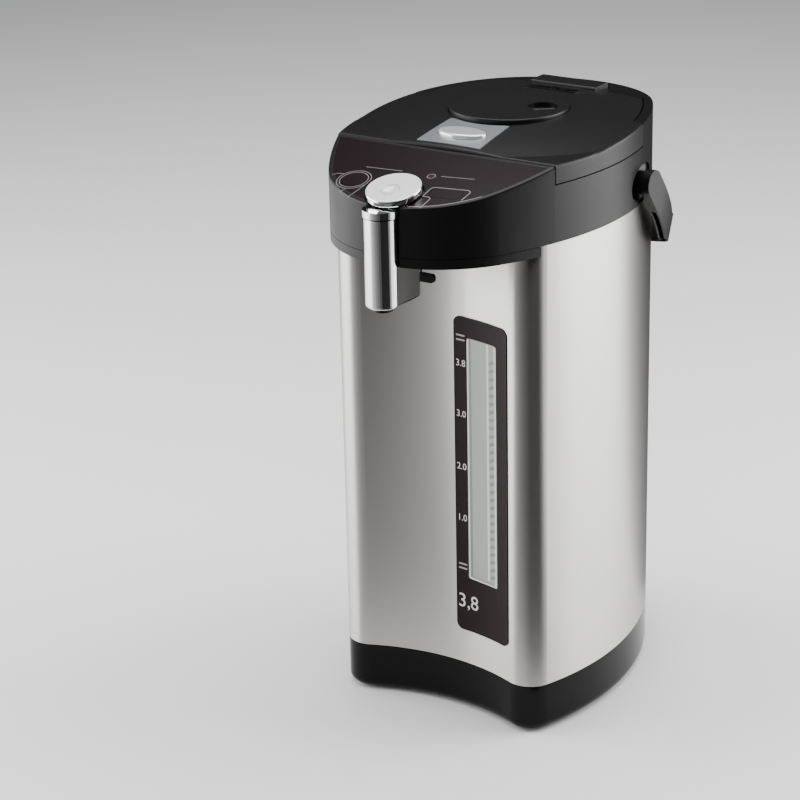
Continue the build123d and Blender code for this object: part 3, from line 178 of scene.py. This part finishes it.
def polished_rim(mat):
    """Keeps the face of the slanting disc satin and makes its edge a mirror."""
    tree = mat.node_tree
    shader = tree.nodes["Principled BSDF"]
    geometry = tree.nodes.new("ShaderNodeNewGeometry")
    facing = tree.nodes.new("ShaderNodeVectorMath")
    facing.operation = "DOT_PRODUCT"
    facing.inputs[1].default_value = (0, -sin(BUTTON_TILT), cos(BUTTON_TILT))
    tree.links.new(geometry.outputs["Normal"], facing.inputs[0])
    for socket, rim, face in (("Metallic", 1.0, 0.2), ("Roughness", 0.06, 0.2)):
        ranged = tree.nodes.new("ShaderNodeMapRange")
        ranged.inputs["From Min"].default_value = EDGE_FACING
        ranged.inputs["From Max"].default_value = FACE_FACING
        ranged.inputs["To Min"].default_value = rim
        ranged.inputs["To Max"].default_value = face
        tree.links.new(facing.outputs["Value"], ranged.inputs["Value"])
        tree.links.new(ranged.outputs["Result"], shader.inputs[socket])
    return mat


# covers and trim
brushed(grain(material("steel_wrap", (0.6, 0.59, 0.57), 0.36, 1.0), BRUSHED_GRAIN, 0.05, 0.0001), 0.85, 0.25)
material("gloss_black", (0.002, 0.002, 0.002), 0.12, spec=0.12)
grain(material("satin_black", (0.006, 0.006, 0.006), 0.3, spec=0.26), FINE_GRAIN, 0.03)
grain(material("charcoal", (0.008, 0.008, 0.008), 0.34, spec=0.27), FINE_GRAIN, 0.06)
material("inner_black", (0.006, 0.006, 0.006), 0.4, spec=0.3)
material("knob_black", (0.005, 0.005, 0.005), 0.25, spec=0.4)
material("spout_chrome", (0.88, 0.88, 0.89), 0.05, 1.0)
polished_rim(material("button_silver", (0.98, 0.98, 0.99), 0.2, 0.25, coat=0.6))
KEY_SILVER = material("key_silver", (0.9, 0.9, 0.91), 0.16, 0.6)
grain(material("plate_silver", (0.36, 0.37, 0.39), 0.32, 0.7), COARSE_GRAIN, 0.05)

# panel, gauge and what is printed on them
material("panel_film", (0.009, 0.0045, 0.0062), 0.24, spec=0.16)
material("gauge_print", (0.014, 0.0075, 0.009), 0.34, spec=0.1)
material("gauge_glass", (0.3, 0.325, 0.295), 0.2, coat=0.2)
# Darker and lighter copies of the window glass: painted shade and painted highlights for the window's rim and
# ridges.
WINDOW_PAINTED_SHADE = material("gauge_glass_painted_shade", (0.19, 0.2, 0.18), 0.2, coat=0.2)
WINDOW_PAINTED_HIGHLIGHT = material("gauge_glass_painted_highlight", (0.6, 0.61, 0.58), 0.15, coat=0.3)
PRINT_WHITE = material("print_white", (0.62, 0.6, 0.58), 0.4)
# Grey print, also used for the painted highlight along the panel's rim.
PRINT_AND_HIGHLIGHT_GREY = material("print_and_highlight_grey", (0.3, 0.26, 0.27), 0.4)
DENT_GREY = material("dent_grey", (0.5, 0.5, 0.51), 0.3)
material("lamp_lens", (0.05, 0.02, 0.02), 0.12, coat=0.5)

# feet, fasteners and works
material("foot_rubber", (0.015, 0.015, 0.015), 0.7)
material("screw_steel", (0.5, 0.5, 0.5), 0.35, 1.0)
material("contact_brass", (0.75, 0.55, 0.25), 0.3, 1.0)
material("circuit_board", (0.02, 0.12, 0.05), 0.4)
material("tube_glass", (0.85, 0.88, 0.88), 0.1)
material("pot_steel", (0.65, 0.65, 0.65), 0.22, 1.0)
material("wool", (0.55, 0.53, 0.48), 0.9)
material("heater_metal", (0.5, 0.5, 0.5), 0.45, 1.0)
material("ceramic", (0.55, 0.5, 0.42), 0.6)
material("motor_metal", (0.25, 0.25, 0.26), 0.4, 0.9)
material("magnet", (0.08, 0.08, 0.08), 0.5, 0.6)
material("pump_plastic", (0.7, 0.7, 0.68), 0.45)
material("silicone", (0.55, 0.55, 0.53), 0.5)

for entry in frame["record"]["subparts"]:
    nodes[entry["node"]].data.materials.clear()
    nodes[entry["node"]].data.materials.append(finishes[entry["material_slot"]])
nodes["latch_button"].data.materials[0] = KEY_SILVER


# ------------------------------------------------------------------ lines and figures on a surface
FIGURE_SHARE = 0.7  # how high a figure is for the size of its font
FIGURE_STEPS = 4


def arc(centre, radius, start, end, count=24):
    """Points along an arc, with its turns in degrees."""
    turns = [radians(start + (end - start) * i / count) for i in range(count + 1)]
    return [(centre[0] + radius * cos(t), centre[1] + radius * sin(t)) for t in turns]


def add_mesh(name, points, faces, mat, body="pot"):
    mesh = bpy.data.meshes.new(name)
    mesh.from_pydata(points, [], faces)
    mesh.materials.append(mat)
    piece = bpy.data.objects.new(name, mesh)
    bpy.context.scene.collection.objects.link(piece)
    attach(piece, body)


def ribbon(name, points, width, ground, mat, body="pot"):
    """A flat line of one width along points of a surface."""
    corners = []
    for i, (u, v) in enumerate(points):
        before = points[max(i - 1, 0)]
        after = points[min(i + 1, len(points) - 1)]
        du, dv = after[0] - before[0], after[1] - before[1]
        length = sqrt(du * du + dv * dv)
        nu, nv = -dv / length * width / 2, du / length * width / 2
        corners += [ground(u + nu, v + nv), ground(u - nu, v - nv)]
    faces = [(2 * i, 2 * i + 1, 2 * i + 3, 2 * i + 2) for i in range(len(points) - 1)]
    add_mesh(name, corners, faces, mat, body)


def lettering(name, text, height, at, ground, mat):
    """Plain figures, wrapped to a surface, with their middle at a place."""
    curve = bpy.data.curves.new(name, "FONT")
    curve.body = text
    curve.align_x = "CENTER"
    curve.align_y = "CENTER"
    curve.size = height / FIGURE_SHARE
    curve.resolution_u = FIGURE_STEPS
    flat = bpy.data.objects.new(name + "_flat", curve)
    mesh = bpy.data.meshes.new_from_object(flat)
    points = [ground(at[0] + v.co.x, at[1] + v.co.y) for v in mesh.vertices]
    faces = [tuple(face.vertices) for face in mesh.polygons]
    bpy.data.objects.remove(flat)
    bpy.data.curves.remove(curve)
    add_mesh(name, points, faces, mat)


# ------------------------------------------------------------------ the gauge's figures
MARKS = (("3.8", 241.5), ("3.0", 207.5), ("2.0", 171.8), ("1.0", 136.4))  # litres and height
MARK_X = 13.6
MARK_SIZE = 4.4
CAPACITY = "3,8"
CAPACITY_PLACE = (17.8, 77.8)
CAPACITY_SIZE = 9.6
LIMITS = (("upper", 258.6), ("lower", 102.6))
LIMIT_ROWS = (("a", 1.5), ("b", -1.5))
LIMIT_LEFT = 10.4
LIMIT_RIGHT = 17.0
LIMIT_LINE = 1.1


def gauge_prints():
    """The litre figures, the capacity and the pair of lines at either limit."""
    for text, z in MARKS:
        lettering("mark_" + text.replace(".", "_"), text, MARK_SIZE, (MARK_X, z), on_gauge, PRINT_WHITE)
    lettering("capacity", CAPACITY, CAPACITY_SIZE, CAPACITY_PLACE, on_gauge, PRINT_WHITE)
    for name, z in LIMITS:
        for row, step in LIMIT_ROWS:
            line = [(LIMIT_LEFT, z + step), (LIMIT_RIGHT, z + step)]
            ribbon(f"limit_{name}_{row}", line, LIMIT_LINE, on_gauge, PRINT_AND_HIGHLIGHT_GREY)


# ------------------------------------------------------------------ the finger dent of the slanting disc
DENT = (-0.6, -3.0)
DENT_RADIUS = 5.6
DENT_SHADES = (("far", 10, 130, 1.3), ("near", 200, 320, 0.9))  # from and to in degrees, and width


def button_shades():
    """The shaded edge of the finger dent."""
    for name, start, end, width in DENT_SHADES:
        edge = arc(DENT, DENT_RADIUS, start, end)
        ribbon(f"dent_{name}", edge, width, on_button, DENT_GREY, "dispense_button")


# ------------------------------------------------------------------ the gauge's window
WINDOW_LEFT = 18.4
WINDOW_RIGHT = 42.2
WINDOW_LOW = 95.3
WINDOW_HIGH = 258.7
LEFT_RIM = 1.2  # also the width of the foot's rim
RIGHT_RIM = 1.6
SHADE_INSET = 2.2
SHADE_LIFT = 2
SHADE_LINE = 2.0
BAND_X = 35.2
BAND_LIFT = 3
BAND_LINE = 1.8
RIDGES = 28
RIDGE_PITCH = 5.4
RIDGE_LIFT = 5
RIDGE_LEFT = 36.4
RIDGE_RIGHT = 40.6
RIDGE_RISE = 2.2
RIDGE_LINE = 2.2


def window_upright(name, x, lift, width, mat):
    """An upright line from a lift above the window's foot to its top."""
    ribbon(name, [(x, WINDOW_LOW + lift), (x, WINDOW_HIGH)], width, on_window, mat)


def window_lines():
    """Painted highlights along the window's moulded rim and a painted highlight band, with painted shade
    inside the left rim and on the row of slanted ridges.
    """
    window_upright("window_highlight_left", WINDOW_LEFT + LEFT_RIM / 2, 0, LEFT_RIM, WINDOW_PAINTED_HIGHLIGHT)
    foot = WINDOW_LOW + LEFT_RIM / 2
    ribbon("window_highlight_foot", [(WINDOW_LEFT, foot), (WINDOW_RIGHT, foot)], LEFT_RIM, on_window, WINDOW_PAINTED_HIGHLIGHT)
    window_upright("window_shade", WINDOW_LEFT + SHADE_INSET, SHADE_LIFT, SHADE_LINE, WINDOW_PAINTED_SHADE)
    # A light upright band: a painted highlight down the window.
    window_upright("window_highlight_band", BAND_X, BAND_LIFT, BAND_LINE, WINDOW_PAINTED_HIGHLIGHT)
    window_upright("window_highlight_right", WINDOW_RIGHT - RIGHT_RIM / 2, 0, RIGHT_RIM, WINDOW_PAINTED_HIGHLIGHT)
    # The ridges are drawn dark: painted shade on each ridge.
    for i in range(RIDGES):
        z = WINDOW_LOW + RIDGE_LIFT + i * RIDGE_PITCH
        line = [(RIDGE_LEFT, z), (RIDGE_RIGHT, z + RIDGE_RISE)]
        ribbon(f"window_ridge_shade_{i}", line, RIDGE_LINE, on_window, WINDOW_PAINTED_SHADE)


# ------------------------------------------------------------------ the panel's lines and outlines
THIN_LINE = 0.35
KEY_LINE = 0.5
LEFT_RING = (-34.7, -168.3)
RING_OUTER = 10.7
RING_INNER = 8.9
RING_STEPS = 48
RING_LINES = (
    ("ring_tail", [(-24.0, -167.0), (-25.0, -178.0), (-26.3, -188.5)]),
    ("ring_foot", [(-33.7, -179.2), (-34.3, -184.0)]),
    ("ring_side", [(-51.4, -167.2), (-49.2, -164.3), (-45.0, -163.6)]),
    ("ring_leader", [(-36.0, -152.4), (-11.0, -150.8)]),
)
LAMP_PLACE = (10.0, -151.5)
LAMP_RING = 2.5
LAMP_LINE = [(16.0, -150.0), (38.0, -147.6)]
KEY_START = (18.0, -174.2)
KEY_CORNER = 3.0
TAIL_CORNER = 2.7
CORNER_STEPS = 8
RIM_INSET = 2.2  # from the edge of the nose
RIM_FROM = -77
RIM_TO = -40
RIM_STEPS = 32


def panel_line(name, points, width):
    ribbon(name, points, width, on_panel, PRINT_AND_HIGHLIGHT_GREY)


def panel_prints():
    """The ring of the left key, the lamp, the outline of the right key, and a painted highlight along the
    rim.
    """
    panel_line("ring_outer", arc(LEFT_RING, RING_OUTER, 0, 360, RING_STEPS), THIN_LINE)
    panel_line("ring_inner", arc(LEFT_RING, RING_INNER, 0, 360, RING_STEPS), THIN_LINE)
    for name, points in RING_LINES:
        panel_line(name, points, THIN_LINE)
    panel_line("lamp_ring", arc(LAMP_PLACE, LAMP_RING, 0, 360), THIN_LINE)
    panel_line("lamp_line", LAMP_LINE, THIN_LINE)
    outline = [KEY_START, (17.8, -166.2)] + arc((20.8, -165.6), KEY_CORNER, 180, 100, CORNER_STEPS)
    outline += arc((40.9, -163.4), KEY_CORNER, 95, 0, CORNER_STEPS) + [(43.4, -172.0)]
    panel_line("key_outline", outline, KEY_LINE)
    tail = [KEY_START, (21.4, -173.9)] + arc((21.4, -176.6), TAIL_CORNER, 90, 0, CORNER_STEPS)
    panel_line("key_tail", tail + [(23.9, -187.0)], KEY_LINE)
    # A lighter line along part of the nose's rim: a painted highlight on the edge of the housing's rim.
    rim = arc((0, CHORD_Y), NOSE_RADIUS - RIM_INSET, RIM_FROM, RIM_TO, RIM_STEPS)
    panel_line("panel_rim_highlight", rim, KEY_LINE)


gauge_prints()
button_shades()
window_lines()
panel_prints()


# ------------------------------------------------------------------ stage and light, in metres and watts
FLOOR_SIZE = 12
FLOOR_GREY = 0.92
FLOOR_ROUGH = 0.6
WORLD_COLOR = (0.9, 0.91, 0.93)
WORLD_STRENGTH = 0.22
PANELS = (  # where it hangs, what it faces, its width and height, and its power
    ("left_panel", (-1.15, -0.55, 0.55), (0, 0, 0.15), (1.3, 1.1), 25),
    ("right_panel", (1.0, 0.8, 0.6), (0, 0, 0.15), (1.05, 1.2), 27),
    ("top_panel", (0.0, 0.1, 1.7), (0, 0, 0.2), (1.8, 1.8), 40),
)
FLAG_REACH = 4.0  # how far off the walls of the flags stand
FLAG_HEIGHT = 4.0
FLAG_NEAR = 0.17  # how near the flags on the floor come
FLAG_LIFT = 0.003  # how far they lie above the floor
FLAGS = (  # from and to, as turns in degrees from the front toward +X, and how grey
    (-36, -24, 0.4),
    (-24, -12, 0.3),
    (-12, 0, 0.2),
    (0, 12, 0.14),
    (12, 24, 0.08),
    (24, 72, 0.02),
    (72, 84, 0.2),
    (151, 156, 0.5),
    (156, 162, 0.3),
    (162, 170, 0.18),
    (170, 180, 0.1),
    (180, 236, 0.05),
)


def flat_light(name, at, look, size, power):
    data = bpy.data.lights.new(name, "AREA")
    data.shape = "RECTANGLE"
    data.size, data.size_y = size
    data.energy = power
    lamp = bpy.data.objects.new(name, data)
    lamp.location = at
    lamp.rotation_euler = (Vector(look) - Vector(at)).to_track_quat("-Z", "Y").to_euler()
    bpy.context.scene.collection.objects.link(lamp)


def make_stage():
    """A plain pale floor, an even world and three soft panels."""
    bpy.ops.mesh.primitive_plane_add(size=FLOOR_SIZE, location=(0, 0, 0))
    floor = bpy.context.object
    floor.name = "floor"
    floor.data.materials.append(material("floor", (FLOOR_GREY, FLOOR_GREY, FLOOR_GREY), FLOOR_ROUGH))
    world = bpy.data.worlds.new("world")
    bpy.context.scene.world = world
    world.use_nodes = True
    world.node_tree.nodes["Background"].inputs["Color"].default_value = (*WORLD_COLOR, 1)
    world.node_tree.nodes["Background"].inputs["Strength"].default_value = WORLD_STRENGTH
    for panel in PANELS:
        flat_light(*panel)


def compass(turn, reach, height=0.0):
    """A place at a turn from the front toward +X, in degrees."""
    return (sin(radians(turn)) * reach, -cos(radians(turn)) * reach, height)


def flag(name, points, mat):
    """A card that shows only in reflections."""
    mesh = bpy.data.meshes.new(name)
    mesh.from_pydata(points, [], [tuple(range(len(points)))])
    mesh.materials.append(mat)
    card = bpy.data.objects.new(name, mesh)
    card.visible_camera = False
    card.visible_shadow = False
    card.visible_diffuse = False
    bpy.context.scene.collection.objects.link(card)


def make_flags():
    """Darkens what the steel reflects from the camera's side of the room and from behind."""
    for start, end, grey in FLAGS:
        mat = material(f"flag_{start}", (grey, grey, grey), 1.0, spec=0.0)
        wall = [compass(start, FLAG_REACH), compass(end, FLAG_REACH)]
        wall += [compass(end, FLAG_REACH, FLAG_HEIGHT), compass(start, FLAG_REACH, FLAG_HEIGHT)]
        ground = [compass(start, FLAG_NEAR, FLAG_LIFT), compass(start, FLAG_REACH, FLAG_LIFT)]
        ground += [compass(end, FLAG_REACH, FLAG_LIFT), compass(end, FLAG_NEAR, FLAG_LIFT)]
        flag(f"flag_wall_{start}", wall, mat)
        flag(f"flag_ground_{start}", ground, mat)


make_stage()
make_flags()
